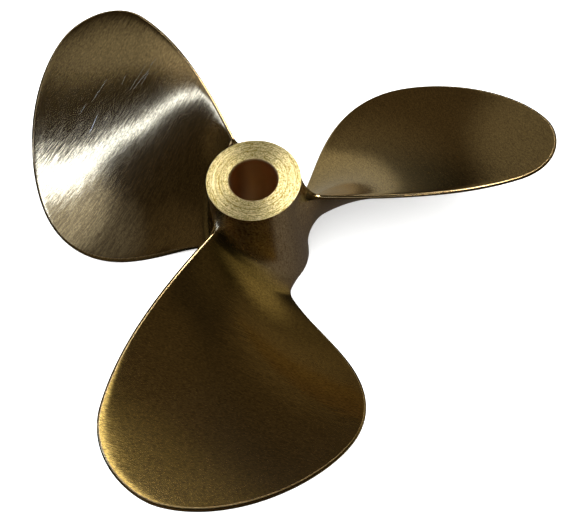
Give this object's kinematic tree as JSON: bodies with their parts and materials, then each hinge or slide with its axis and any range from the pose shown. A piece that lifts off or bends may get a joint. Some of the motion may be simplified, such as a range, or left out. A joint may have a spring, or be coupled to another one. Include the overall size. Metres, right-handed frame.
{
  "type": "boat propeller",
  "caption": "Left-hand bronze boat propeller cast in one piece: broad raked blades with filleted roots on a tapered hub with a tapered shaft bore.",
  "frame": {"origin": "on the shaft axis, at the height of the centre of mass", "axes": "+Z along the shaft axis, pointing aft; one blade's centre line lies along -Y"},
  "size_m": [0.3213, 0.3041, 0.084],
  "materials": {
    "bronze": "machined hub faces, polished and finely brushed blades"
  },
  "bodies": {
    "root": {"propeller_casting": "bronze"}
  },
  "joints": []
}
